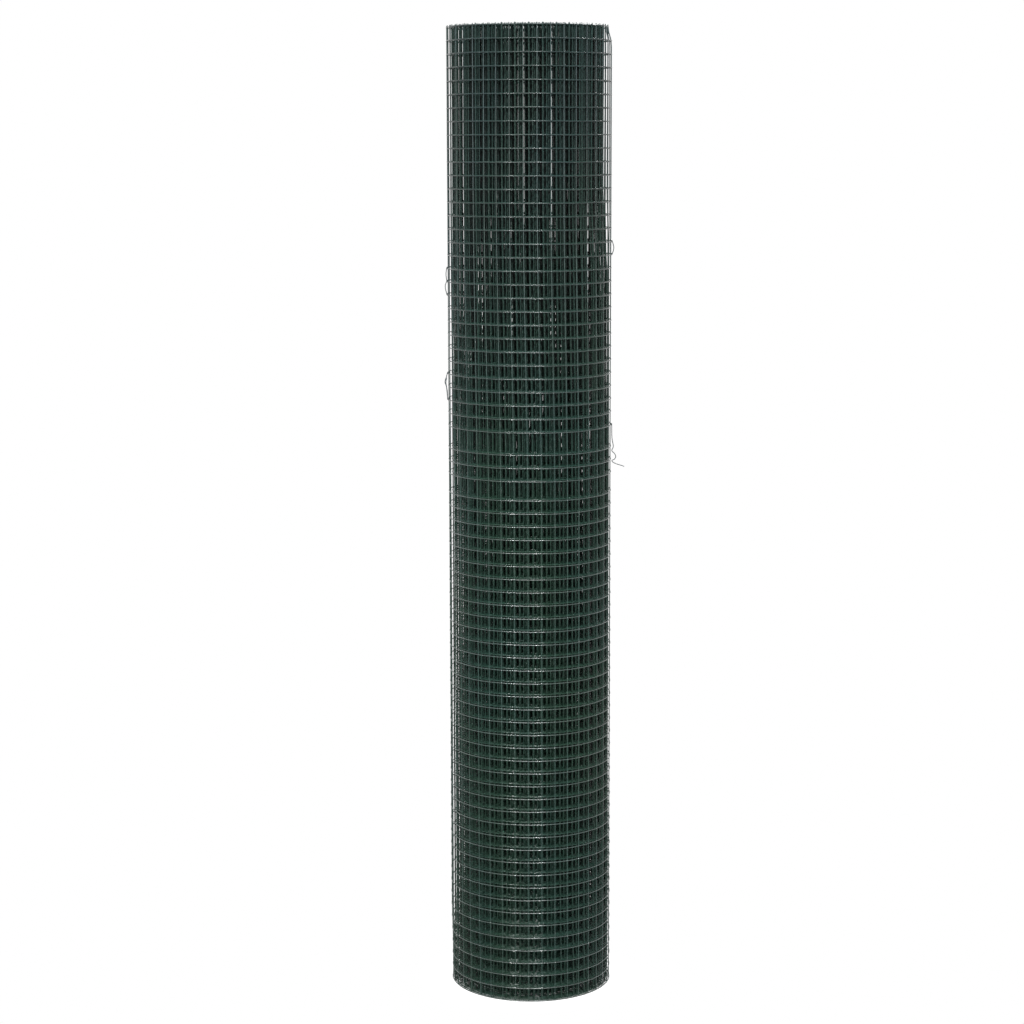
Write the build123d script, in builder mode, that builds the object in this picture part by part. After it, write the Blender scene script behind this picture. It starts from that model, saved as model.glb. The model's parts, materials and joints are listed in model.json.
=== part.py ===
# A roll of green PVC-coated welded wire mesh, standing on its end.
# The wound sheet is one turned solid with an open bore, and its turns show as ridges on both ends.
# Origin: centre of the bore on the floor. +Z: up the axis of the roll. Millimetres.

import os
from math import atan2, cos, degrees, pi, radians, sin, sqrt, tan

from build123d import *

# Sheet of mesh
sheet_width = 1000.0  # standing height of the roll
sheet_length = 10000.0  # length of mesh wound on
sheet_thickness = 1.3  # two crossed and welded wires

# Winding
bore_radius = 34.6  # left by the mandrel that the sheet was wound on
turn_pitch = 1.6  # radial growth of each tight turn
loose_gap = 5.5  # open width between the tight turns and the loose last one
ridge_height = 2.0  # how far the end of each tight turn stands above the gaps beside it
loose_gap_depth = 6.0  # how far the wide gap runs in from each end
crossing_angle = 70.0  # where the sheet crosses the wide gap, in degrees from +X
crossing_sweep = 24.0  # arc over which it crosses
free_edge_angle = 100.0  # the sheet's outer edge, in degrees from +X
free_edge_step = 0.9  # how far the free edge stands above the sheet under it
free_edge_fade = 60.0  # arc over which the step along the free edge fades out

# Tie wires that hold the last turn
tie_diameter = 0.9  # over the flats
tie_sides = 6  # one of the flats lies on the roll
bend_share = 0.45  # each bend takes this share of the shorter run beside it
# For each wire, its place round the roll in degrees from +X, then its route down the side of the roll:
# at each point a height and how far the wire stands off the roll
tie_wires = {
    "right_upper": (0.0, ((787, 0), (781, 0), (774.5, 2.4), (768, 0), (762, 0))),
    "right_lower": (
        -3.0,
        ((597, 0), (590, 0), (570.5, 2.2), (565.5, 1), (562, 4.9), (558, 4.9), (554.5, 0.8), (548.5, 14)),
    ),
    "left_upper": (180.0, ((764, 0), (758, 0), (749, 1.2), (742, 0), (736.5, 2.3), (732, 0), (726, 0))),
    "left_lower": (183.0, ((663, 0), (657, 0), (637.5, 3.2), (625, 0), (619, 0))),
}

# Sizes that follow from the winding
# The tight turns' outside follows from the area of the wound sheet seen from above, less the last turn's
gap_to_middle = loose_gap + sheet_thickness / 2
wound_area = bore_radius**2 + (sheet_length / pi - 2 * gap_to_middle) * turn_pitch
core_radius = sqrt(wound_area + turn_pitch**2) - turn_pitch
gap_radius = core_radius + loose_gap  # outer wall of the wide gap
outer_radius = gap_radius + sheet_thickness
tight_turns = round((core_radius - bore_radius) / turn_pitch)
ridge_pitch = (core_radius - bore_radius) / tight_turns


def polar(radius, angle):
    """The point at a radius and an angle in degrees from +X."""
    return Vector(radius * cos(radians(angle)), radius * sin(radians(angle)))


def end_profile(end, inward):
    """One end of the roll's wall from the bore outwards: the tight turns' ridges, the wide gap, the last turn."""
    profile = []
    for turn in range(tight_turns):
        profile.append((bore_radius + turn * ridge_pitch, end))
        profile.append((bore_radius + (turn + 0.5) * ridge_pitch, end + inward * ridge_height))
    profile.append((core_radius, end))
    profile.append((core_radius, end + inward * loose_gap_depth))
    profile.append((gap_radius, end + inward * loose_gap_depth))
    profile.append((gap_radius, end))
    profile.append((outer_radius, end))
    return profile


def bend_radii(points):
    """For each bend of a route, the largest radius that its two runs leave room for."""
    radii = []
    for before, corner, after in zip(points, points[1:], points[2:]):
        run_in = Vector(corner) - Vector(before)
        run_out = Vector(after) - Vector(corner)
        shorter = min(run_in.length, run_out.length)
        radii.append(bend_share * shorter / tan(radians(run_in.get_angle(run_out) / 2)))
    return radii


# The roll
crossing_start = polar(core_radius - ridge_pitch / 2, crossing_angle - crossing_sweep / 2)
crossing_end = polar(outer_radius - sheet_thickness / 2, crossing_angle + crossing_sweep / 2)
crossing_run = crossing_end - crossing_start
crossing_middle = (crossing_start + crossing_end) / 2
with BuildPart() as mesh_roll:
    with BuildSketch(Plane.XZ) as wall_section:
        with BuildLine():
            Polyline(*end_profile(0, 1), *reversed(end_profile(sheet_width, -1)), close=True)
        make_face()
    revolve(axis=Axis.Z)
    # Where the sheet crosses the wide gap on its way to the last turn
    with BuildSketch(Plane.XY, Plane.XY.offset(sheet_width - loose_gap_depth)) as crossing:
        with Locations(Location(crossing_middle, degrees(atan2(crossing_run.Y, crossing_run.X)))):
            Rectangle(crossing_run.length, sheet_thickness)
    extrude(amount=loose_gap_depth)
    # Step along the sheet's free edge: a crescent that fades out round the roll
    with BuildSketch() as edge_crescent:
        with BuildLine():
            edge_top = polar(outer_radius, free_edge_angle)
            edge_foot = polar(outer_radius - free_edge_step, free_edge_angle)
            fade_middle = polar(outer_radius, free_edge_angle + free_edge_fade / 2)
            fade_end = polar(outer_radius, free_edge_angle + free_edge_fade)
            outside = ThreePointArc(edge_top, fade_middle, fade_end)
            TangentArc(fade_end, edge_foot, tangent=-(outside % 1))
            Line(edge_foot, edge_top)
        make_face()
    extrude(amount=sheet_width, mode=Mode.SUBTRACT)

mesh_roll.part.label = "mesh_roll"
os.makedirs("parts", exist_ok=True)
export_step(mesh_roll.part, "parts/mesh_roll.step")

# The tie wires
for name, (angle, stations) in tie_wires.items():
    outward = polar(1, angle)
    along_roll = polar(1, angle + 90)
    side = outer_radius + tie_diameter / 2
    points = [(side + stand_off, height) for height, stand_off in stations]
    with BuildPart() as tie_wire:
        with BuildLine(Plane((0, 0, 0), x_dir=outward, z_dir=-along_roll)) as route:
            path = FilletPolyline(*points, radius=bend_radii(points))
        with BuildSketch(Plane(path @ 0, x_dir=along_roll, z_dir=path % 0)):
            RegularPolygon(tie_diameter / 2, tie_sides, major_radius=False)
        sweep(path=route.line)
    tie_wire.part.label = "tie_wire_" + name
    export_step(tie_wire.part, "parts/tie_wire_" + name + ".step")

print("core radius", round(core_radius, 3), "outer radius", round(outer_radius, 3), "turns", tight_turns + 1)
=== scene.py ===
# A roll of green PVC-coated welded wire mesh, standing on its end, wound wire by wire.
#
# The sheet's middle line, seen from above, is worked out once from the free edge inwards. Geometry Nodes
# repeat it for every line wire, stand a cross wire at each pitch along it and set the welds. All of them
# share one group of small displacements, so that crossing wires stay together. Metres throughout.

import json
from math import ceil, cos, pi, radians, sin

import bpy
from bpy.props import FloatProperty, FloatVectorProperty, IntProperty, PointerProperty
from mathutils import Matrix, Vector


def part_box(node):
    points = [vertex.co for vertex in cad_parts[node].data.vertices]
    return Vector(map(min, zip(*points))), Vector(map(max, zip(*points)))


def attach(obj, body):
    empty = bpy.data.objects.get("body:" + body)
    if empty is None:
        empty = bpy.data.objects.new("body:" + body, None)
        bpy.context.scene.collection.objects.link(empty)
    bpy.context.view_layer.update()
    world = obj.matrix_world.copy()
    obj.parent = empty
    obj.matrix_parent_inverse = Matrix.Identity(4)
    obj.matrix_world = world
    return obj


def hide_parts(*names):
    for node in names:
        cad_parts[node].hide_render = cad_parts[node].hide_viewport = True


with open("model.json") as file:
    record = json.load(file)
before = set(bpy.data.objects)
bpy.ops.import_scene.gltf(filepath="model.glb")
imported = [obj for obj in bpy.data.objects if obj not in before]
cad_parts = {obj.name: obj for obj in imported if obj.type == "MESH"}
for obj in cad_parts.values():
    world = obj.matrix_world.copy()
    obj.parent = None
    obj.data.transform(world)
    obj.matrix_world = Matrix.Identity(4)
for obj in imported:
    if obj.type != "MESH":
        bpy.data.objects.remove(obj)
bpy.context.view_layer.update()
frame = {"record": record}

bl_info = {
    "name": "Welded Mesh Roll",
    "version": (1, 0, 0),
    "blender": (4, 5, 0),
    "location": "View3D > Sidebar > Mesh Roll",
    "description": "Winds a roll of PVC-coated welded mesh, its loose last turn and its tie wires",
    "category": "Add Mesh",
}

ROLL_LOW, ROLL_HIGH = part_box("mesh_roll")
BORE = next(mount for mount in frame["record"]["mounts"] if mount["name"] == "bore")


# Sizes and colours


def length(name, description, default):
    """A length in metres."""
    return FloatProperty(name=name, description=description, default=default, unit="LENGTH", precision=5)


def angle(name, description, degrees):
    """An angle, written in degrees."""
    return FloatProperty(name=name, description=description, default=radians(degrees), subtype="ANGLE")


def colour(name, description, default):
    """A linear colour."""
    return FloatVectorProperty(name=name, description=description, default=default, min=0.0, max=1.0,
                               subtype="COLOR")


def share(name, description, default):
    """A share from 0 to 1."""
    return FloatProperty(name=name, description=description, default=default, min=0.0, max=1.0,
                         subtype="FACTOR")


class SheetSizes(bpy.types.PropertyGroup):
    """The flat mesh before it is wound"""

    sheet_length: length("Sheet Length", "Length of mesh on the roll", 10.0)
    telescope: length("Telescoping", "How far turns stand above one another", 0.0009)
    rows: IntProperty(name="Line Wires", description="Wires that run along the sheet", default=74, min=2)
    top_stub: length("Top Stub", "How far cross wires pass the topmost line wire", 0.0018)
    foot_stub: length("Foot Stub", "How far they pass the lowest line wire", 0.00065)
    cross_pitch: length("Cross Pitch", "Distance between cross wires", 0.01388)
    free_stub: length("Free Stub", "How far line wires pass the last cross wire", 0.0020)
    wide_row_1: IntProperty(name="First Wide Row", default=30,
                            description="Line wire above the widest row of openings")
    wide_row_2: IntProperty(name="Second Wide Row", default=33,
                            description="Line wire above the other wide row")
    extra_1: length("First Extra", "Extra height of the widest row", 0.00911)
    extra_2: length("Second Extra", "Extra height of the other wide row", 0.00599)
    wire: length("Wire Diameter", "Coated diameter of every wire", 0.00095)
    layer_offset: length("Layer Offset", "Line wires lie this far outwards, cross wires inwards", 0.000175)
    weld: length("Weld Length", "Length of the coating's bead at a weld", 0.0017)
    weld_width: share("Weld Width", "Width of the bead, as a share of its length", 0.75)


class WindingSizes(bpy.types.PropertyGroup):
    """How the sheet is wound"""

    outer_radius: length("Outer Radius", "Outside of the loose last turn", (ROLL_HIGH.x - ROLL_LOW.x) / 2)
    bore_radius: length("Bore Radius", "Inside of the tight turns", BORE["dims"]["r_mm"] / 1000)
    tight_outside: length("Tight Outside", "Outside of the tight turns", 0.0776)
    snug_turns: FloatProperty(name="Snug Turns", description="Outer tight turns that lie closer together",
                              default=7.922945)
    snug_pitch: length("Snug Pitch", "Radial growth of each of the snug turns", 0.001329)
    free_edge: angle("Free Edge", "Direction of the sheet's outer edge, from +X", 100)
    lap: angle("Lap", "Arc over which the last turn covers its own start", 18)
    lap_depth: length("Lap Depth", "How much lower the covered start lies", 0.0015)
    lap_run: angle("Lap Run", "Arc over which the last turn climbs out from under the lap", 60)
    crossing: angle("Crossing", "Arc over which the sheet leaves the tight turns", 24)
    slow_wander: length("Slow Wander", "Waves that neighbouring turns share", 0.0006)
    fine_wander: length("Fine Wander", "Small unevenness of each wire", 0.0002)
    loose_wander: length("Loose Wander", "How far the last turn sags inwards", 0.0001)
    rise_wander: length("Rise Wander", "How far wires wander up and down", 0.0003)
    twist: angle("Twist", "Turn of the top of the roll against its foot", -2.8)
    taper: length("Taper", "How much narrower the last turn is at the foot", 0.0010)
    foot_flare: length("Foot Flare", "How far the tight turns open at the foot", 0.0052)
    top_flare: length("Top Flare", "How far the tight turns open at the top left", 0.0052)
    high_spread: length("High Spread", "How far tight turns have sprung open on the upper right", 0.0056)
    low_spread: length("Low Spread", "How far they have sprung open on the lower right", 0.0056)
    left_spread: length("Left Spread", "How far they have sprung open on the left", 0.0040)
    left_loosened: length("Left Loosened", "How far the outer tight turn stands off on the left", 0.0006)
    right_loosened: length("Right Loosened", "How far it stands off on the upper right", 0.0032)
    dent: length("Dent", "How far the top right corner of the last turn is pushed in", 0.0036)


class TieSizes(bpy.types.PropertyGroup):
    """The thin wires that hold the last turn"""

    wire: length("Tie Diameter", "Coated diameter of a tie wire", 0.0008)
    coil_radius: length("Coil Radius", "Of the coils round the line wires, to the tie's middle", 0.00095)
    coil_turns: IntProperty(name="Coil Turns", description="Coils at each line wire", default=2, min=1)


class CoatColours(bpy.types.PropertyGroup):
    """The coating of the wires"""

    # The tight turns are coated darker than the last turn: painted shade inside the roll. They also turn a
    # little greyer towards the top.
    tight_low: colour("Tight Turns, Low", "Tight turns near the foot", (0.012, 0.031, 0.021))
    tight_high: colour("Tight Turns, High", "Tight turns near the top", (0.015, 0.031, 0.025))
    # The last turn's line wires are lighter low down and darker towards the top: painted shade on the
    # rings towards the top.
    line_low: colour("Line Wires, Low", "Rubbed line wires of the last turn, low", (0.016, 0.032, 0.025))
    line_high: colour("Line Wires, High", "Line wires of the last turn, high", (0.012, 0.018, 0.017))
    # The last turn's cross wires are lighter and greyer towards the top: a painted highlight.
    cross_low: colour("Cross Wires, Low", "Cross wires of the last turn, low", (0.020, 0.040, 0.031))
    cross_high: colour("Cross Wires, High", "Faded cross wires, high", (0.034, 0.047, 0.043))
    tie: colour("Tie", "Coating of the tie wires", (0.030, 0.040, 0.038))
    scuff: colour("Scuff", "Dull rubbed coating", (0.060, 0.080, 0.072))
    fade_low: length("Fade Start", "Height below which the wires have their low colours", 0.45)
    fade_high: length("Fade End", "Height above which they have their high colours", 0.92)
    gloss: share("Roughness", "Roughness of clean coating", 0.20)
    shine: share("Specular Level", "How strongly the coating reflects", 0.25)
    line_shine: share("Line Specular", "How strongly the rubbed line wires reflect low down", 1.0)


class StageSizes(bpy.types.PropertyGroup):
    """Floor, lamps and camera"""

    distance: length("Camera Distance", "From the roll's axis to the camera", 2.5440)
    camera_height: length("Camera Height", "Above the floor", 0.8859)
    pitch: angle("Pitch", "The camera looks down by this angle", 8.585)
    yaw: angle("Yaw", "The camera is turned to the left by this angle", 0.419)
    roll: angle("Camera Roll", "The camera leans over by this angle", -0.158)
    lens: FloatProperty(name="Lens", description="Focal length on a sensor 36 mm wide", default=86.83)
    world_light: FloatProperty(name="World Light", description="Strength of the even light", default=0.18)
    floor: colour("Floor", "Colour of the floor", (0.80, 0.80, 0.80))
    white_start: length("White Start", "From this distance to the axis on the floor turns white", 0.087)
    white_end: length("White End", "Past this distance it is quite white", 0.120)


# For each tie its direction from +X in degrees and its route down the roll: the numbers of the line wires
# that it is coiled round, counted from the top, and between them heights with a distance off the roll
TIES = {
    "tie_wire_right_upper": (0.0, (16, (0.7755, 0.0018), 17)),
    "tie_wire_right_lower": (
        -3.0,
        (30, (0.5800, 0.0004), (0.5710, 0.0018), (0.5665, 0.0003), (0.5635, 0.0030), (0.5605, 0.0044),
         (0.5575, 0.0030), (0.5560, 0.0004), (0.5535, 0.0030), (0.5500, 0.0132)),
    ),
    "tie_wire_left_upper": (180.0, (18, (0.7490, 0.0009), 19, (0.7365, 0.0017), 20)),
    "tie_wire_left_lower": (
        183.0,
        (26, (0.6440, 0.0012), (0.6385, 0.0027), (0.6330, 0.0012), 28, (0.6290, 0.0004), (0.6340, 0.0012),
         (0.6385, 0.0018), (0.6430, 0.0010)),
    ),
}

# For each lamp its place, the side of its square and its power in watts
LAMPS = {
    "left_lamp": ((-1.2, -2.25, 2.3), 0.3, 96.0),
    "right_lamp": ((0.6, -2.4, 2.4), 0.3, 96.0),
    "top_lamp": ((0.0, -0.9, 3.2), 1.0, 60.0),
    "back_lamp": ((0.3, 2.4, 2.6), 1.0, 90.0),
}


# Building node trees


def put(tree, kind, inputs=None, **settings):
    """Adds a node, sets its settings and feeds its inputs with numbers or with other nodes' sockets."""
    node = tree.nodes.new(kind)
    for key, value in settings.items():
        setattr(node, key, value)
    for key, value in (inputs or {}).items():
        if isinstance(value, bpy.types.NodeSocket):
            tree.links.new(value, node.inputs[key])
        else:
            node.inputs[key].default_value = value
    return node


def calc(tree, operation, *values):
    """The result of a sum on numbers or sockets."""
    return put(tree, "ShaderNodeMath", dict(enumerate(values)), operation=operation).outputs[0]


def vector_calc(tree, operation, *values):
    """The result of a vector sum."""
    node = put(tree, "ShaderNodeVectorMath", dict(enumerate(values)), operation=operation)
    return node.outputs["Value" if operation in ("LENGTH", "DOT_PRODUCT") else "Vector"]


def scaled(tree, vector, factor):
    """A vector times a number."""
    return put(tree, "ShaderNodeVectorMath", {0: vector, "Scale": factor}, operation="SCALE").outputs[0]


def ramp(tree, value, start, end, low=0.0, high=1.0):
    """Goes smoothly from low at start to high at end, and stays there."""
    inputs = {"Value": value, "From Min": start, "From Max": end, "To Min": low, "To Max": high}
    return put(tree, "ShaderNodeMapRange", inputs, interpolation_type="SMOOTHSTEP").outputs[0]


def unevenness(tree, place, stretch, offset):
    """Smooth noise from about -1 to 1, with a frequency for each axis and its own place in the noise."""
    moved = put(tree, "ShaderNodeVectorMath", {0: place, 1: stretch, 2: offset}, operation="MULTIPLY_ADD")
    noise = put(tree, "ShaderNodeTexNoise", {"Vector": moved.outputs[0], "Scale": 1.0, "Detail": 1.0})
    return calc(tree, "MULTIPLY_ADD", noise.outputs[0], 4.0, -2.0)


SOCKETS = {float: "NodeSocketFloat", int: "NodeSocketInt", bpy.types.Material: "NodeSocketMaterial"}


def new_tree(name, sizes, result="Geometry"):
    """An empty geometry tree with named inputs, and its way in and out."""
    tree = bpy.data.node_groups.new(name, "GeometryNodeTree")
    if result == "Geometry":
        tree.interface.new_socket("Geometry", in_out="INPUT", socket_type="NodeSocketGeometry")
    for label, value in sizes.items():
        socket = tree.interface.new_socket(label, in_out="INPUT", socket_type=SOCKETS[type(value)])
        socket.default_value = value
    kind = {"Geometry": "Geometry", "Offset": "Vector", "Height": "Float"}[result]
    tree.interface.new_socket(result, in_out="OUTPUT", socket_type="NodeSocket" + kind)
    return tree, tree.nodes.new("NodeGroupInput").outputs, tree.nodes.new("NodeGroupOutput").inputs


def nest(tree, way_in, group, **feeds):
    """Puts a group in a tree. Inputs that the tree has too are joined to them, others are fed by name."""
    node = put(tree, "GeometryNodeGroup", node_tree=group)
    for socket in node.inputs:
        source = feeds.get(socket.name.replace(" ", "_"), way_in.get(socket.name))
        if isinstance(source, bpy.types.NodeSocket):
            tree.links.new(source, socket)
        elif source is not None:
            socket.default_value = source
    return node.outputs[0]


def polyline(name, points):
    """Points joined in order, as a mesh of edges."""
    line = bpy.data.meshes.new(name)
    line.from_pydata(points, [(i, i + 1) for i in range(len(points) - 1)], [])
    return line


def grown(name, line, tree, values):
    """The plain mesh that a tree grows on a line, as a new object at the origin."""
    seedling = bpy.data.objects.new(name + "_line", line)
    bpy.context.scene.collection.objects.link(seedling)
    modifier = seedling.modifiers.new("Grow", "NODES")
    modifier.node_group = tree
    for item in tree.interface.items_tree:
        if item.item_type == "SOCKET" and item.in_out == "INPUT" and item.name in values:
            modifier[item.identifier] = values[item.name]
    evaluated = seedling.evaluated_get(bpy.context.evaluated_depsgraph_get())
    mesh = bpy.data.meshes.new_from_object(evaluated)
    mesh.name = name
    bpy.data.objects.remove(seedling)
    if not mesh.polygons:
        raise RuntimeError(name + " came out empty")
    piece = bpy.data.objects.new(name, mesh)
    bpy.context.scene.collection.objects.link(piece)
    return piece


def settle(piece, *nodes, slot="pvc_green"):
    """Fixes a finished piece to the roll's body."""
    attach(piece, "root")
    if nodes:
        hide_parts(*nodes)


# The winding, seen from above


def eased(rise, way):
    """The part of a rise that is done after a share of the way, with a smooth start and end."""
    return rise * way * way * (3 - 2 * way)


class Winding:
    """The sheet's middle line as points at even steps, split into the last turn and the tight turns."""

    STEPS_A_CELL = 8

    def __init__(self, sheet, sizes):
        self.sizes = sizes
        self.margin = sheet.layer_offset + sheet.wire / 2
        self.tight_radius = sizes.tight_outside - self.margin
        self.tight_start = 2 * pi + sizes.lap + sizes.crossing
        innermost = sizes.bore_radius + self.margin
        wound = sheet.sheet_length - self.tight_start * (sizes.outer_radius - self.margin)
        self.turn_pitch = pi * (self.tight_radius**2 - innermost**2) / wound
        self.turns = (self.tight_radius - innermost) / self.turn_pitch
        self.trace(sheet)

    def trace(self, sheet):
        """Sets the points along the sheet and shares its cross wires out between the two stretches."""
        cell = sheet.cross_pitch
        step = cell / self.STEPS_A_CELL
        self.points = []
        turned = 0.0
        crossed = None
        for i in range(ceil(sheet.sheet_length / step)):
            radius = self.radius(turned)
            bearing = self.sizes.free_edge - turned
            self.points.append(Vector((radius * cos(bearing), radius * sin(bearing), 0.0)))
            turned += step / radius
            if crossed is None and turned > self.tight_start:
                crossed = i

        # The last turn ends half a cell past its last cross wire
        self.last_cells = ceil((crossed * step - sheet.free_stub) / cell)
        self.split = round((sheet.free_stub + (self.last_cells - 0.5) * cell) / step)
        self.first_tight = sheet.free_stub + self.last_cells * cell - self.split * step
        self.tight_cells = int(((len(self.points) - 1 - self.split) * step - self.first_tight) / cell)

    def radius(self, turned):
        """The radius of the sheet's middle line, for the angle turned inwards from the free edge."""
        sizes = self.sizes
        outside = sizes.outer_radius - self.margin
        crossing_start = self.tight_start - sizes.crossing
        if turned < crossing_start:
            climb = min(max((turned - 2 * pi + sizes.lap_run) / sizes.lap_run, 0.0), 1.0)
            return outside - eased(sizes.lap_depth, climb)
        if turned < self.tight_start:
            under = outside - sizes.lap_depth
            return under + eased(self.tight_radius - under, (turned - crossing_start) / sizes.crossing)
        turn = (turned - self.tight_start) / (2 * pi)
        closer = (1 - sizes.snug_pitch / self.turn_pitch) * min(turn, sizes.snug_turns)
        if turn > sizes.snug_turns:
            closer *= max(self.turns - turn, 0.0) / (self.turns - sizes.snug_turns)
        return self.tight_radius - self.turn_pitch * (turn - closer)

    def line(self, name, first, last):
        """A stretch of the middle line, as a mesh of edges."""
        return polyline(name, self.points[first:last])

    def last_turn(self):
        """The line of the loose last turn, from the free edge."""
        return self.line("last_turn_line", 0, self.split + 1)

    def tight_turns(self):
        """The line of all the other turns, down to the bore."""
        return self.line("tight_turns_line", self.split, len(self.points))


LAST_LIFT = 0.23  # how high the last turn stands, as a share of the telescoping


def sheet_height(sheet):
    """Width of the sheet, which stands upright."""
    return ROLL_HIGH.z - sheet.telescope


def row_pitch(sheet):
    """Distance between line wires."""
    between_edges = sheet_height(sheet) - sheet.top_stub - sheet.foot_stub
    return (between_edges - sheet.extra_1 - sheet.extra_2) / (sheet.rows - 1)


def row_height(sheet, row):
    """The height of a line wire of the last turn, counted from the top."""
    height = sheet_height(sheet) - sheet.top_stub - row * row_pitch(sheet) + LAST_LIFT * sheet.telescope
    if row > sheet.wide_row_1:
        height -= sheet.extra_1
    if row > sheet.wide_row_2:
        height -= sheet.extra_2
    return height


# Node groups that all the wires share


ROWS = {"Top": 1.0, "Row Pitch": 0.0135, "Wide Row 1": 30.0, "Wide Row 2": 33.0, "Extra 1": 0.009,
        "Extra 2": 0.006}


def row_height_group():
    """The height of a line wire, counted from the top, with two rows of wider openings."""
    tree, way_in, way_out = new_tree("Row height", {"Row": 0.0, **ROWS}, "Height")
    down = calc(tree, "MULTIPLY", way_in["Row"], way_in["Row Pitch"])
    height = calc(tree, "SUBTRACT", way_in["Top"], down)
    for wide, extra in (("Wide Row 1", "Extra 1"), ("Wide Row 2", "Extra 2")):
        below = calc(tree, "GREATER_THAN", way_in["Row"], calc(tree, "ADD", way_in[wide], 0.5))
        height = calc(tree, "SUBTRACT", height, calc(tree, "MULTIPLY", below, way_in[extra]))
    tree.links.new(height, way_out["Height"])
    return tree


# The displacements of the wound sheet, which are sizes of the winding
SHIFTS = (
    "Slow Wander", "Fine Wander", "Loose Wander", "Rise Wander", "Twist", "Taper", "Foot Flare",
    "Top Flare", "High Spread", "Low Spread", "Left Spread", "Left Loosened", "Right Loosened", "Dent",
)
WANDER = {"Layer": 0.0, "Telescope": 0.0, **dict.fromkeys(SHIFTS, 0.0)}

# Noise: waves in a metre along X, Y and Z, and the place in the noise
SLOW_NOISE = ((11, 11, 3.5), (3.1, 1.7, 0.4))
FINE_NOISE = ((170, 170, 14), (8.3, 2.9, 5.1))
SAG_NOISE = ((16, 16, 6), (0.7, 6.2, 2.8))
RISE_NOISE = ((21, 21, 2), (4.4, 9.1, 7.7))
TURN_NOISE = ((330, 0, 0), (2.6, 0, 0))

# Heights over which a displacement grows from nothing to all of it
FOOT = (0.105, 0.060)
NARROW_FOOT = (0.09, 0.03)
TOP_LEFT = (0.69, 0.76)
BELOW_TOP = (0.770, 0.745)
LOW_HALF = (0.595, 0.565)
CORNER = (0.981, 0.998)
TWISTED = (0.5, 0.85)
OFF_FLOOR = (0.001, 0.02)
UNDER_TOP = (0.999, 0.98)

# Stretches round the roll over which it grows so, where -1 is the left edge and 1 the right edge
LEFT_HALF = (0.0, -0.8)
LEFT_EDGE = (-0.45, -0.90)
LEFT_SIDE = (-0.30, -0.80)
RIGHT_SIDE = (0.35, 0.93)
RIGHT_EDGE = (0.90, 0.99)

# Distances from the outermost tight turn that part it from the turns inside it, and from the last turn
OUTERMOST = (-0.00150, -0.00105)
LAST_TURN = (0.0010, 0.0040)
SAG_BIAS = 0.8  # added to the noise, so that the last turn sags nearly everywhere

# For each place where the tight turns have opened, the radius of the innermost turn that moves
OPEN_FROM = {"Foot Flare": 0.056, "Top Flare": 0.066, "Left Spread": 0.060, "High Spread": 0.060,
             "Low Spread": 0.048}


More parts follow.
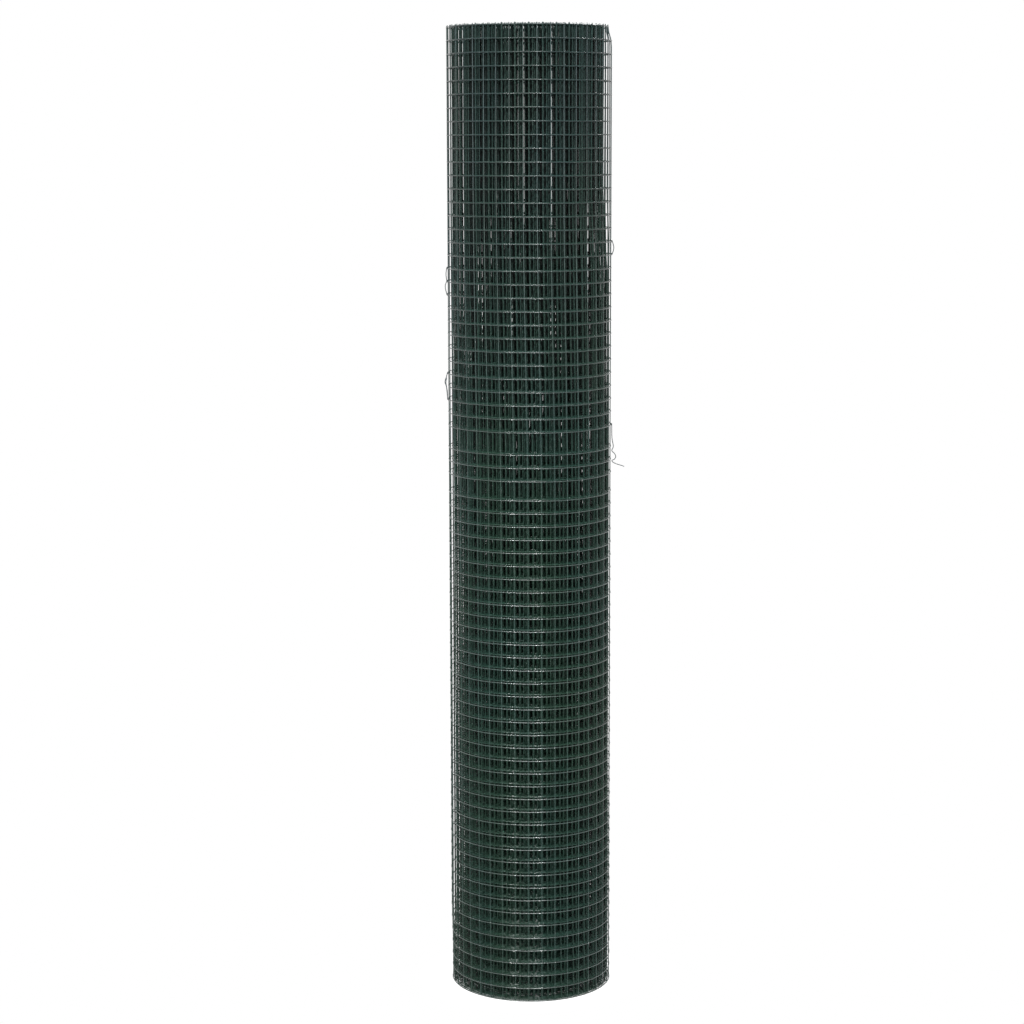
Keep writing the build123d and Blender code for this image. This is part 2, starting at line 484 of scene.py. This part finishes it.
def wander_group(tight_radius):
    """How far a point of the wound sheet lies from its ideal place."""
    tree, way_in, way_out = new_tree("Wander", WANDER, "Offset")
    place = put(tree, "GeometryNodeInputPosition").outputs[0]
    flat = vector_calc(tree, "MULTIPLY", place, (1, 1, 0))
    outward = vector_calc(tree, "NORMALIZE", flat)
    radius = vector_calc(tree, "LENGTH", flat)
    height = put(tree, "ShaderNodeSeparateXYZ", {0: place}).outputs["Z"]
    to_right = vector_calc(tree, "DOT_PRODUCT", outward, (1, 0, 0))

    def product(*values):
        result = values[0]
        for value in values[1:]:
            result = calc(tree, "MULTIPLY", result, value)
        return result

    def rest(value):
        return calc(tree, "SUBTRACT", 1.0, value)

    def from_tight_turns(start, end):
        return ramp(tree, radius, tight_radius + start, tight_radius + end)

    def opened(size, *where):
        """Opens the tight turns by a size, from nothing at OPEN_FROM to all of it at the outermost."""
        inputs = {"Value": radius, "From Min": OPEN_FROM[size], "From Max": tight_radius}
        by_radius = put(tree, "ShaderNodeMapRange", inputs).outputs[0]
        return product(*where, way_in[size], by_radius, tight)

    last = from_tight_turns(*LAST_TURN)
    tight = rest(last)
    outermost = from_tight_turns(*OUTERMOST)
    slow = unevenness(tree, place, *SLOW_NOISE)
    fine = unevenness(tree, place, *FINE_NOISE)
    sag = calc(tree, "MAXIMUM", calc(tree, "ADD", unevenness(tree, place, *SAG_NOISE), SAG_BIAS), 0.0)
    foot = ramp(tree, height, *FOOT)
    above_foot = rest(foot)
    narrow = product(ramp(tree, height, *NARROW_FOOT), ramp(tree, to_right, *LEFT_HALF))
    top_left = product(ramp(tree, height, *TOP_LEFT), ramp(tree, to_right, *LEFT_EDGE))
    left_side = product(ramp(tree, to_right, *LEFT_SIDE), rest(top_left))
    right_side = ramp(tree, to_right, *RIGHT_SIDE)
    below_top = ramp(tree, height, *BELOW_TOP)
    right = product(right_side, below_top)
    low = ramp(tree, height, *LOW_HALF)
    corner = product(ramp(tree, height, *CORNER), ramp(tree, to_right, *RIGHT_EDGE))
    moves = (
        way_in["Layer"],
        product(slow, way_in["Slow Wander"], tight),
        product(fine, way_in["Fine Wander"], tight),
        product(sag, way_in["Loose Wander"], last, -0.5),
        product(narrow, way_in["Taper"], last, -1.0),
        product(corner, way_in["Dent"], last, -1.0),
        opened("Foot Flare", foot),
        opened("Top Flare", top_left),
        opened("Left Spread", left_side, above_foot),
        product(left_side, above_foot, way_in["Left Loosened"], outermost, tight),
        product(right_side, rest(below_top), way_in["Right Loosened"], outermost, tight),
        opened("High Spread", right, rest(low)),
        opened("Low Spread", right, low, above_foot),
    )
    out = moves[0]
    for move in moves[1:]:
        out = calc(tree, "ADD", out, move)

    # Each tight turn stands a little higher or lower than its neighbours
    from_axis = put(tree, "ShaderNodeCombineXYZ", {"X": radius}).outputs[0]
    lift = ramp(tree, unevenness(tree, from_axis, *TURN_NOISE), -1.0, 1.0)
    lift = calc(tree, "ADD", product(lift, tight), product(LAST_LIFT, last))
    rise = product(unevenness(tree, place, *RISE_NOISE), way_in["Rise Wander"],
                   ramp(tree, height, *OFF_FLOOR), ramp(tree, height, *UNDER_TOP))
    rise = calc(tree, "MULTIPLY_ADD", lift, way_in["Telescope"], rise)

    # The twist moves a point along the tangent, and the last term brings it back to its radius
    turn = product(way_in["Twist"], ramp(tree, height, *TWISTED))
    around = vector_calc(tree, "CROSS_PRODUCT", (0, 0, 1), flat)
    out = calc(tree, "SUBTRACT", out, product(radius, turn, turn, 0.5))

    shift = put(tree, "ShaderNodeCombineXYZ", {"Z": rise}).outputs[0]
    shift = vector_calc(tree, "ADD", shift, scaled(tree, outward, out))
    shift = vector_calc(tree, "ADD", shift, scaled(tree, around, turn))
    tree.links.new(shift, way_out["Offset"])
    return tree


def tube(tree, way_in, path):
    """Curves thickened to closed tubes."""
    circle = {"Resolution": way_in["Sides"], "Radius": way_in["Wire Radius"]}
    section = put(tree, "GeometryNodeCurvePrimitiveCircle", circle).outputs[0]
    inputs = {"Curve": path, "Profile Curve": section, "Fill Caps": True}
    return put(tree, "GeometryNodeCurveToMesh", inputs).outputs[0]


def finish_wires(tree, way_in, way_out, wires, wander):
    """Lets wires wander, gives them their thickness and their coat, and ends the tree."""
    offset = nest(tree, way_in, wander)
    wires = put(tree, "GeometryNodeSetPosition", {"Geometry": wires, "Offset": offset}).outputs[0]
    end_tree(tree, way_out, tube(tree, way_in, wires), way_in["Coat"])


def end_tree(tree, way_out, mesh, coat):
    """Realizes what is left of instances, shades smooth and sets the material."""
    whole = put(tree, "GeometryNodeRealizeInstances", {"Geometry": mesh}).outputs[0]
    smooth = put(tree, "GeometryNodeSetShadeSmooth", {"Geometry": whole}).outputs[0]
    coated = put(tree, "GeometryNodeSetMaterial", {"Geometry": smooth, "Material": coat}).outputs[0]
    tree.links.new(coated, way_out["Geometry"])


def line_wires_tree(coat, heights, wander):
    """The winding line repeated for each row and thickened: the wires that run along the sheet."""
    sizes = {"Rows": 1, "First Row": 0, "Row Step": 1, "Segments": 100, "Wire Radius": 0.0005, "Sides": 4,
             **ROWS, **WANDER, "Coat": coat}
    tree, way_in, way_out = new_tree("Line wires", sizes)
    line = put(tree, "GeometryNodeMeshToCurve", {"Mesh": way_in["Geometry"]}).outputs[0]
    count = calc(tree, "ADD", way_in["Segments"], 1)
    line = put(tree, "GeometryNodeResampleCurve", {"Curve": line, "Count": count}).outputs[0]
    index = put(tree, "GeometryNodeInputIndex").outputs[0]
    row = calc(tree, "MULTIPLY_ADD", index, way_in["Row Step"], way_in["First Row"])
    height = nest(tree, way_in, heights, Row=row)
    place = put(tree, "ShaderNodeCombineXYZ", {"Z": height}).outputs[0]
    posts = put(tree, "GeometryNodePoints", {"Count": way_in["Rows"], "Position": place}).outputs[0]
    wires = put(tree, "GeometryNodeInstanceOnPoints", {"Points": posts, "Instance": line}).outputs[0]
    wires = put(tree, "GeometryNodeRealizeInstances", {"Geometry": wires}).outputs[0]
    finish_wires(tree, way_in, way_out, wires, wander)
    return tree


def places_along(tree, way_in, number):
    """The place of a cross wire on the winding line, by its number from the line's start."""
    line = put(tree, "GeometryNodeMeshToCurve", {"Mesh": way_in["Geometry"]}).outputs[0]
    distance = calc(tree, "MULTIPLY_ADD", number, way_in["Cross Pitch"], way_in["First Wire"])
    inputs = {"Curves": line, "Length": distance}
    sample = put(tree, "GeometryNodeSampleCurve", inputs, mode="LENGTH", use_all_curves=True)
    return sample.outputs["Position"]


def cross_wires_tree(coat, wander):
    """Upright wires at each pitch along the winding line."""
    sizes = {"Wires": 1, "First Wire": 0.0, "Segments": 12, "Sheet Height": 1.0, "Wire Radius": 0.0005,
             "Sides": 4, "Cross Pitch": 0.0135, **WANDER, "Coat": coat}
    tree, way_in, way_out = new_tree("Cross wires", sizes)
    index = put(tree, "GeometryNodeInputIndex").outputs[0]
    place = places_along(tree, way_in, index)
    feet = put(tree, "GeometryNodePoints", {"Count": way_in["Wires"], "Position": place}).outputs[0]
    top = put(tree, "ShaderNodeCombineXYZ", {"Z": way_in["Sheet Height"]}).outputs[0]
    upright = put(tree, "GeometryNodeCurvePrimitiveLine", {"Start": (0, 0, 0), "End": top}).outputs[0]
    count = calc(tree, "ADD", way_in["Segments"], 1)
    upright = put(tree, "GeometryNodeResampleCurve", {"Curve": upright, "Count": count}).outputs[0]
    wires = put(tree, "GeometryNodeInstanceOnPoints", {"Points": feet, "Instance": upright}).outputs[0]
    wires = put(tree, "GeometryNodeRealizeInstances", {"Geometry": wires}).outputs[0]
    finish_wires(tree, way_in, way_out, wires, wander)
    return tree


def welds_tree(coat, heights, wander):
    """A small bead of coating where each pair of wires crosses."""
    sizes = {"Wires": 1, "Rows": 1, "First Wire": 0.0, "Cross Pitch": 0.0135, "Bead Length": 0.0017,
             "Bead Width": 0.0012, **ROWS, **WANDER, "Coat": coat}
    tree, way_in, way_out = new_tree("Welds", sizes)
    index = put(tree, "GeometryNodeInputIndex").outputs[0]
    row = calc(tree, "FLOOR", calc(tree, "DIVIDE", calc(tree, "ADD", index, 0.5), way_in["Wires"]))
    number = calc(tree, "SUBTRACT", index, calc(tree, "MULTIPLY", row, way_in["Wires"]))
    height = nest(tree, way_in, heights, Row=row)
    up = put(tree, "ShaderNodeCombineXYZ", {"Z": height}).outputs[0]
    place = vector_calc(tree, "ADD", places_along(tree, way_in, number), up)
    count = calc(tree, "MULTIPLY", way_in["Wires"], way_in["Rows"])
    spots = put(tree, "GeometryNodePoints", {"Count": count, "Position": place}).outputs[0]
    offset = nest(tree, way_in, wander)
    spots = put(tree, "GeometryNodeSetPosition", {"Geometry": spots, "Offset": offset}).outputs[0]
    bead = put(tree, "GeometryNodeMeshIcoSphere", {"Radius": 0.5, "Subdivisions": 1}).outputs[0]
    width = way_in["Bead Width"]
    size = put(tree, "ShaderNodeCombineXYZ", {0: width, 1: width, 2: way_in["Bead Length"]}).outputs[0]
    beads = put(tree, "GeometryNodeInstanceOnPoints", {"Points": spots, "Instance": bead, "Scale": size})
    end_tree(tree, way_out, beads.outputs[0], way_in["Coat"])
    return tree


def tie_tree(coat):
    """A route smoothed and thickened."""
    sizes = {"Wire Radius": 0.0004, "Sides": 8, "Step": 0.0004, "Coat": coat}
    tree, way_in, way_out = new_tree("Tie", sizes)
    route = put(tree, "GeometryNodeMeshToCurve", {"Mesh": way_in["Geometry"]}).outputs[0]
    route = put(tree, "GeometryNodeCurveSplineType", {0: route}, spline_type="CATMULL_ROM").outputs[0]
    inputs = {"Curve": route, "Length": way_in["Step"]}
    route = put(tree, "GeometryNodeResampleCurve", inputs, mode="LENGTH").outputs[0]
    end_tree(tree, way_out, tube(tree, way_in, route), way_in["Coat"])
    return tree


# Materials

# Patches of noise on the coating: how fine, with how much detail, and the noise over which they set in
COOL_PATCHES = (14.0, 2.0, 0.40, 0.62)
RUBBED_PATCHES = (260.0, 3.0, 0.55, 0.75)
DULL_PATCHES = (420.0, 2.0, 0.3, 0.7)
COOL_STRETCH = (1, 1, 0.4)  # cool patches run up the roll
COOL_TINT = (0.95, 1.0, 1.12)
RUBBED_SHARE = 0.5  # of the scuffed colour in a rubbed patch
SMOOTHER = 0.06  # how much less rough than clean coating the smoothest places are
DULLER = 0.16  # how much the dull patches add to that
FLOW_MARKS = {"Scale": 1500.0, "Detail": 2.0}
FLOW_RELIEF = {"Strength": 0.25, "Distance": 0.00012}


def coat_material(name, colours, low, high, low_shine=None):
    """Semi-gloss PVC coating whose colour changes up the roll: cooler stretches, rubbed patches, fine flow
    marks. On the last turn the change up the roll is painted shade on the line wires and a painted
    highlight on the cross wires.
    """
    low_shine = colours.shine if low_shine is None else low_shine
    material = bpy.data.materials.new(name)
    material.use_nodes = True
    tree = material.node_tree
    tree.nodes.clear()
    place = put(tree, "ShaderNodeTexCoord").outputs["Object"]

    def patches(scale, detail, start, end, stretch=(1, 1, 1)):
        mapped = put(tree, "ShaderNodeMapping", {"Vector": place, "Scale": stretch}).outputs[0]
        noise = put(tree, "ShaderNodeTexNoise", {"Vector": mapped, "Scale": scale, "Detail": detail})
        return ramp(tree, noise.outputs["Fac"], start, end)

    def mixed(factor, first, second):
        node = put(tree, "ShaderNodeMix", data_type="RGBA")
        for socket, value in ((0, factor), (6, first), (7, second)):
            if isinstance(value, bpy.types.NodeSocket):
                tree.links.new(value, node.inputs[socket])
            else:
                node.inputs[socket].default_value = value
        return node.outputs[2]

    height = put(tree, "ShaderNodeSeparateXYZ", {0: place}).outputs["Z"]
    # How far up the roll a point lies, from the low colours to the high ones. On the last turn this blend
    # is painted shade on the line wires and a painted highlight on the cross wires towards the top.
    up_the_roll = ramp(tree, height, colours.fade_low, colours.fade_high)
    main = mixed(up_the_roll, (*low, 1), (*high, 1))
    shine = calc(tree, "MULTIPLY_ADD", up_the_roll, colours.shine - low_shine, low_shine)
    cooler = vector_calc(tree, "MULTIPLY", main, COOL_TINT)
    base = mixed(patches(*COOL_PATCHES, COOL_STRETCH), main, cooler)
    rubbed = calc(tree, "MULTIPLY", patches(*RUBBED_PATCHES), RUBBED_SHARE)
    base = mixed(rubbed, base, (*colours.scuff, 1))
    rough = calc(tree, "MULTIPLY_ADD", patches(*DULL_PATCHES), DULLER, colours.gloss - SMOOTHER)
    marks = put(tree, "ShaderNodeTexNoise", {"Vector": place, **FLOW_MARKS}).outputs["Fac"]
    bump = put(tree, "ShaderNodeBump", {"Height": marks, **FLOW_RELIEF}).outputs[0]
    coat = {"Base Color": base, "Roughness": rough, "Normal": bump, "Specular IOR Level": shine}
    shader = put(tree, "ShaderNodeBsdfPrincipled", coat)
    put(tree, "ShaderNodeOutputMaterial", {"Surface": shader.outputs[0]})
    return material


def only_seen(tree):
    """1 for camera, glossy and transmission rays, and 0 for the rays that light the object."""
    rays = put(tree, "ShaderNodeLightPath").outputs
    seen = calc(tree, "MAXIMUM", rays["Is Camera Ray"], rays["Is Glossy Ray"])
    return calc(tree, "MAXIMUM", seen, rays["Is Transmission Ray"])


def floor_material(sizes):
    """Pale floor that fades to white away from the roll and keeps the roll's shadow close to it."""
    material = bpy.data.materials.new("studio_floor")
    material.use_nodes = True
    tree = material.node_tree
    tree.nodes.clear()
    place = put(tree, "ShaderNodeTexCoord").outputs["Object"]
    far = ramp(tree, vector_calc(tree, "LENGTH", place), sizes.white_start, sizes.white_end)
    white = calc(tree, "MULTIPLY", far, only_seen(tree))
    matt = put(tree, "ShaderNodeBsdfDiffuse", {"Color": (*sizes.floor, 1)}).outputs[0]
    glow = put(tree, "ShaderNodeEmission", {"Color": (1, 1, 1, 1), "Strength": 1.0}).outputs[0]
    both = put(tree, "ShaderNodeMixShader", {0: white, 1: matt, 2: glow}).outputs[0]
    put(tree, "ShaderNodeOutputMaterial", {"Surface": both})
    return material


# Pieces


TIGHT_SIDES = 4  # of each wire's section in the tight turns
LAST_SIDES = 6  # and in the last turn


class Store:
    """What the operators share while the roll is being made."""

    winding = None
    coats = {}
    trees = {}


def prepare(scene):
    """Works out the winding, the materials and the trees once."""
    if Store.winding is None:
        Store.winding = Winding(scene.roll_sheet, scene.roll_winding)
        coat = scene.roll_coat
        Store.coats = {
            # The tight turns' coat is darker than the last turn's: painted shade inside the roll.
            "tight": coat_material("tight_pvc_coat", coat, coat.tight_low, coat.tight_high),
            # The last turn's coats carry painted shade on the line wires and a painted highlight on the
            # cross wires towards the top.
            "line": coat_material("line_pvc_coat", coat, coat.line_low, coat.line_high, coat.line_shine),
            "cross": coat_material("cross_pvc_coat", coat, coat.cross_low, coat.cross_high),
            "tie": coat_material("tie_pvc_coat", coat, coat.tie, coat.tie),
        }
        heights = row_height_group()
        wander = wander_group(Store.winding.tight_radius)
        Store.trees = {
            "line": line_wires_tree(Store.coats["tight"], heights, wander),
            "cross": cross_wires_tree(Store.coats["tight"], wander),
            "weld": welds_tree(Store.coats["line"], heights, wander),
            "tie": tie_tree(Store.coats["tie"]),
        }
    return Store.winding


def by_label(sizes, labels):
    """Sizes under the labels that the trees' inputs have."""
    return {label: getattr(sizes, label.lower().replace(" ", "_")) for label in labels}


def shared_values(scene):
    """Inputs that all the trees of the sheet take."""
    sheet = scene.roll_sheet
    own = {
        "Top": sheet_height(sheet) - sheet.top_stub,
        "Row Pitch": row_pitch(sheet),
        "Wide Row 1": float(sheet.wide_row_1),
        "Wide Row 2": float(sheet.wide_row_2),
        "Sheet Height": sheet_height(sheet),
        "Wire Radius": sheet.wire / 2,
    }
    labels = ("Cross Pitch", "Extra 1", "Extra 2", "Telescope")
    return own | by_label(sheet, labels) | by_label(scene.roll_winding, SHIFTS)


class ROLL_OT_tight_line_wires(bpy.types.Operator):
    """Line wires of the tight turns, in three bands of rows and the two end rows"""

    bl_idname = "mesh_roll.tight_line_wires"
    bl_label = "Tight Turns, Line Wires"

    BANDS = 3
    END_SEGMENTS = 3

    def execute(self, context):
        winding = prepare(context.scene)
        sheet = context.scene.roll_sheet
        values = shared_values(context.scene) | {"Layer": sheet.layer_offset, "Sides": TIGHT_SIDES,
                                                 "Coat": Store.coats["tight"]}
        line = winding.tight_turns()
        middle_rows = sheet.rows - 2
        band = ceil(middle_rows / self.BANDS)
        for number in range(self.BANDS):
            first = 1 + number * band
            rows = min(band, sheet.rows - 1 - first)
            values |= {"Rows": rows, "First Row": first, "Row Step": 1, "Segments": winding.tight_cells}
            piece = grown(f"tight_line_wires_{number + 1}", line, Store.trees["line"], values)
            settle(piece, *(["mesh_roll"] if number == 0 else []))
        values |= {"Rows": 2, "First Row": 0, "Row Step": sheet.rows - 1,
                   "Segments": winding.tight_cells * self.END_SEGMENTS}
        settle(grown("tight_end_wires", line, Store.trees["line"], values))
        return {"FINISHED"}


class ROLL_OT_tight_cross_wires(bpy.types.Operator):
    """Cross wires of the tight turns"""

    bl_idname = "mesh_roll.tight_cross_wires"
    bl_label = "Tight Turns, Cross Wires"

    SEGMENTS = 12

    def execute(self, context):
        winding = prepare(context.scene)
        values = shared_values(context.scene) | {
            "Layer": -context.scene.roll_sheet.layer_offset,
            "Wires": winding.tight_cells,
            "First Wire": winding.first_tight,
            "Segments": self.SEGMENTS,
            "Sides": TIGHT_SIDES,
            "Coat": Store.coats["tight"],
        }
        settle(grown("tight_cross_wires", winding.tight_turns(), Store.trees["cross"], values))
        return {"FINISHED"}


class ROLL_OT_last_turn(bpy.types.Operator):
    """Line wires, cross wires and welds of the loose last turn"""

    bl_idname = "mesh_roll.last_turn"
    bl_label = "Last Turn"

    SEGMENTS = 4

    def execute(self, context):
        winding = prepare(context.scene)
        sheet = context.scene.roll_sheet
        line = winding.last_turn()
        wires = shared_values(context.scene) | {"Sides": LAST_SIDES}
        values = wires | {"Layer": sheet.layer_offset, "Rows": sheet.rows, "First Row": 0, "Row Step": 1,
                          "Segments": winding.last_cells * self.SEGMENTS, "Coat": Store.coats["line"]}
        settle(grown("last_line_wires", line, Store.trees["line"], values))
        crossings = {"Wires": winding.last_cells, "First Wire": sheet.free_stub}
        values = wires | crossings | {"Layer": -sheet.layer_offset, "Segments": 2 * (sheet.rows - 1),
                                      "Coat": Store.coats["cross"]}
        settle(grown("last_cross_wires", line, Store.trees["cross"], values))
        values = wires | crossings | {"Layer": 0.0, "Rows": sheet.rows, "Bead Length": sheet.weld,
                                      "Bead Width": sheet.weld * sheet.weld_width,
                                      "Coat": Store.coats["line"]}
        settle(grown("last_welds", line, Store.trees["weld"], values))
        return {"FINISHED"}


class ROLL_OT_tie_wires(bpy.types.Operator):
    """Thin wires coiled round line wires of the last turn"""

    bl_idname = "mesh_roll.tie_wires"
    bl_label = "Tie Wires"

    SIDES = 8
    STEP = 0.0004  # length of each straight piece of a tie
    STEPS_A_COIL = 8
    COIL_LEAD = 1.1  # wire diameters from one coil to the next

    def execute(self, context):
        prepare(context.scene)
        ties = context.scene.roll_ties
        values = {"Wire Radius": ties.wire / 2, "Sides": self.SIDES, "Step": self.STEP,
                  "Coat": Store.coats["tie"]}
        for name, (bearing, stations) in TIES.items():
            line = polyline(name + "_route", self.route(context.scene, radians(bearing), stations))
            piece = grown(name + "_wire", line, Store.trees["tie"], values)
            settle(piece, name, slot="tie_pvc")
        return {"FINISHED"}

    def route(self, scene, bearing, stations):
        """Points down the side of the roll, with coils round line wires."""
        sheet = scene.roll_sheet
        ties = scene.roll_ties
        outside = scene.roll_winding.outer_radius
        outward = Vector((cos(bearing), sin(bearing), 0))
        around = Vector((-sin(bearing), cos(bearing), 0))
        points = []
        drift = 0.0
        for station in stations:
            if isinstance(station, int):
                height = row_height(sheet, station)
                for step in range(self.STEPS_A_COIL * ties.coil_turns + 1):
                    turned = 2 * pi * step / self.STEPS_A_COIL
                    reach = outside - sheet.wire / 2 + ties.coil_radius * cos(turned)
                    level = height + ties.coil_radius * sin(turned)
                    points.append(outward * reach + around * drift + Vector((0, 0, level)))
                    drift += ties.wire * self.COIL_LEAD / self.STEPS_A_COIL
            else:
                level, off = station
                reach = outside + ties.wire / 2 + off
                points.append(outward * reach + around * drift + Vector((0, 0, level)))
        return points


class ROLL_OT_stage(bpy.types.Operator):
    """Pale floor, white surroundings, four soft lamps and the camera"""

    bl_idname = "mesh_roll.stage"
    bl_label = "Stage"

    FLOOR_SIZE = 16.0

    def execute(self, context):
        scene = context.scene
        sizes = scene.roll_stage
        half = self.FLOOR_SIZE / 2
        mesh = bpy.data.meshes.new("floor")
        corners = [(-half, -half, 0), (half, -half, 0), (half, half, 0), (-half, half, 0)]
        mesh.from_pydata(corners, [], [(0, 1, 2, 3)])
        mesh.materials.append(floor_material(sizes))
        floor = bpy.data.objects.new("floor", mesh)
        scene.collection.objects.link(floor)
        self.surroundings(scene, sizes)
        for name, lamp in LAMPS.items():
            self.lamp(scene, name, *lamp)
        self.camera(scene, sizes)
        scene.view_settings.view_transform = "Standard"
        return {"FINISHED"}

    def surroundings(self, scene, sizes):
        """White where it is seen, and a weaker even light on the object."""
        world = bpy.data.worlds.new("surroundings")
        world.use_nodes = True
        tree = world.node_tree
        tree.nodes.clear()
        strength = calc(tree, "MULTIPLY_ADD", only_seen(tree), 1.0 - sizes.world_light, sizes.world_light)
        light = put(tree, "ShaderNodeBackground", {"Color": (1, 1, 1, 1), "Strength": strength}).outputs[0]
        put(tree, "ShaderNodeOutputWorld", {"Surface": light})
        scene.world = world

    def lamp(self, scene, name, place, size, power):
        """A soft square lamp that points at the middle of the roll."""
        light = bpy.data.lights.new(name, "AREA")
        light.energy = power
        light.size = size
        lamp = bpy.data.objects.new(name, light)
        lamp.location = place
        aim = Vector((0, 0, ROLL_HIGH.z / 2)) - lamp.location
        lamp.rotation_euler = aim.to_track_quat("-Z", "Y").to_euler()
        scene.collection.objects.link(lamp)

    def camera(self, scene, sizes):
        """The camera at the photograph's place."""
        data = bpy.data.cameras.new("camera")
        data.lens = sizes.lens
        camera = bpy.data.objects.new("camera", data)
        turn = Matrix.Rotation(sizes.yaw, 4, "Z") @ Matrix.Rotation(pi / 2 - sizes.pitch, 4, "X")
        turn = turn @ Matrix.Rotation(sizes.roll, 4, "Z")
        camera.matrix_world = Matrix.Translation((0, -sizes.distance, sizes.camera_height)) @ turn
        scene.collection.objects.link(camera)
        scene.camera = camera


class ROLL_PT_panel(bpy.types.Panel):
    """The steps that make the roll, with their sizes"""

    bl_idname = "ROLL_PT_panel"
    bl_label = "Welded Mesh Roll"
    bl_space_type = "VIEW_3D"
    bl_region_type = "UI"
    bl_category = "Mesh Roll"

    def draw(self, context):
        for operator in OPERATORS:
            self.layout.operator(operator.bl_idname)
        for group in SETTINGS:
            box = self.layout.box()
            box.label(text=SETTINGS[group].__doc__)
            for name in SETTINGS[group].__annotations__:
                box.prop(getattr(context.scene, group), name)


SETTINGS = {
    "roll_sheet": SheetSizes,
    "roll_winding": WindingSizes,
    "roll_ties": TieSizes,
    "roll_coat": CoatColours,
    "roll_stage": StageSizes,
}
OPERATORS = (
    ROLL_OT_tight_line_wires,
    ROLL_OT_tight_cross_wires,
    ROLL_OT_last_turn,
    ROLL_OT_tie_wires,
    ROLL_OT_stage,
)
CLASSES = (*SETTINGS.values(), *OPERATORS, ROLL_PT_panel)


def register():
    """Registers the classes and gives the scene their sizes."""
    for kind in CLASSES:
        bpy.utils.register_class(kind)
    for name, kind in SETTINGS.items():
        setattr(bpy.types.Scene, name, PointerProperty(type=kind))


def unregister():
    """Takes back what register did."""
    for name in SETTINGS:
        delattr(bpy.types.Scene, name)
    for kind in reversed(CLASSES):
        bpy.utils.unregister_class(kind)


def main():
    """Makes the roll and its stage."""
    register()
    bpy.ops.mesh_roll.tight_line_wires()
    bpy.ops.mesh_roll.tight_cross_wires()
    bpy.ops.mesh_roll.last_turn()
    bpy.ops.mesh_roll.tie_wires()
    bpy.ops.mesh_roll.stage()
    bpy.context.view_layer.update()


if __name__ == "__main__":
    main()
